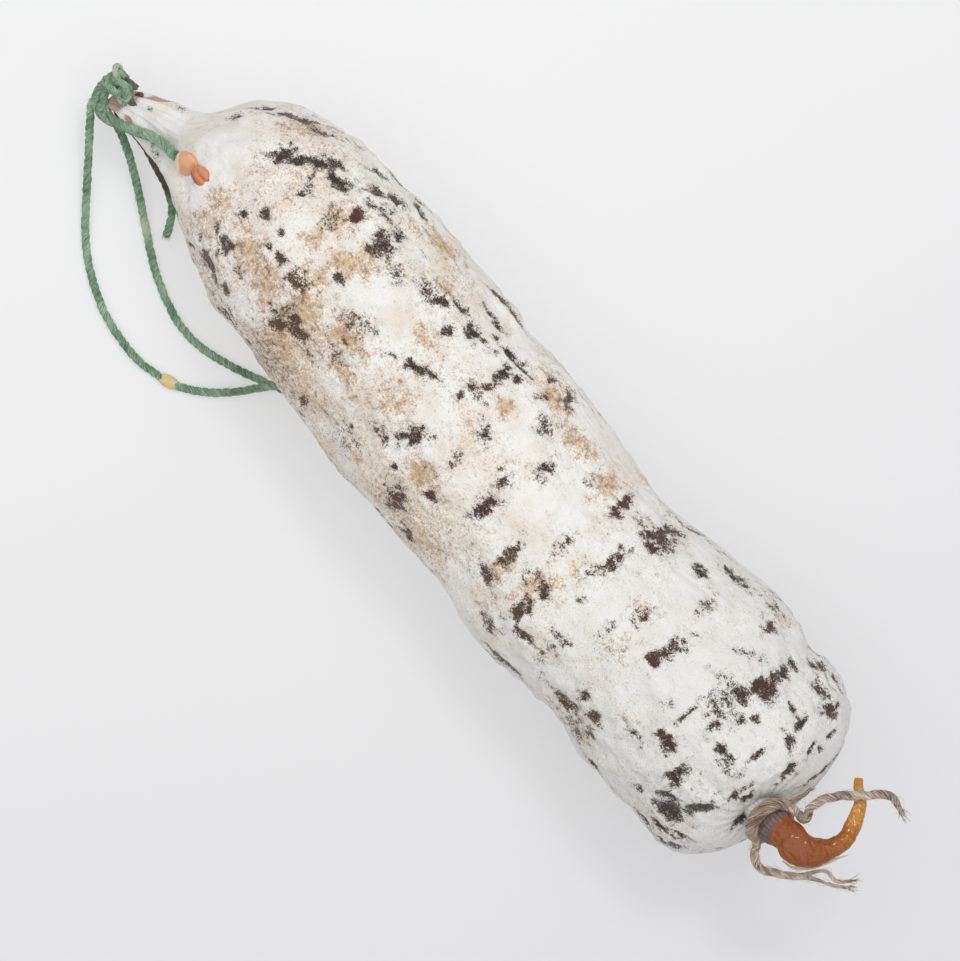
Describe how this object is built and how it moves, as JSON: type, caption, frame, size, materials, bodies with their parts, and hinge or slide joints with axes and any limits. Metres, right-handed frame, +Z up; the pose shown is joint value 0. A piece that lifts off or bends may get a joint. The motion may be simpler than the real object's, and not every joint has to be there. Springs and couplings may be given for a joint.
{
  "type": "cured sausage",
  "caption": "Whole dry-cured sausage with a bloom of white mould, a knotted green hanging string on its neck and a jute tie round its dried casing end.",
  "frame": {"origin": "on the flattened underside, on the surface the sausage lies on, under the middle of its body", "axes": "+X along the sausage from the knotted neck to the tied end, +Z up from the surface it lies on"},
  "size_m": [0.2363, 0.075, 0.0533],
  "materials": {
    "mould_casing": "dry powdery white mould over dark cured casing",
    "green_string": "twisted cotton, matt",
    "jute_twine": "twisted jute, hairy and matt"
  },
  "bodies": {
    "root": {"sausage": "mould_casing", "string_knot": "green_string", "hanging_string": "green_string", "twine_tie": "jute_twine"}
  },
  "joints": []
}
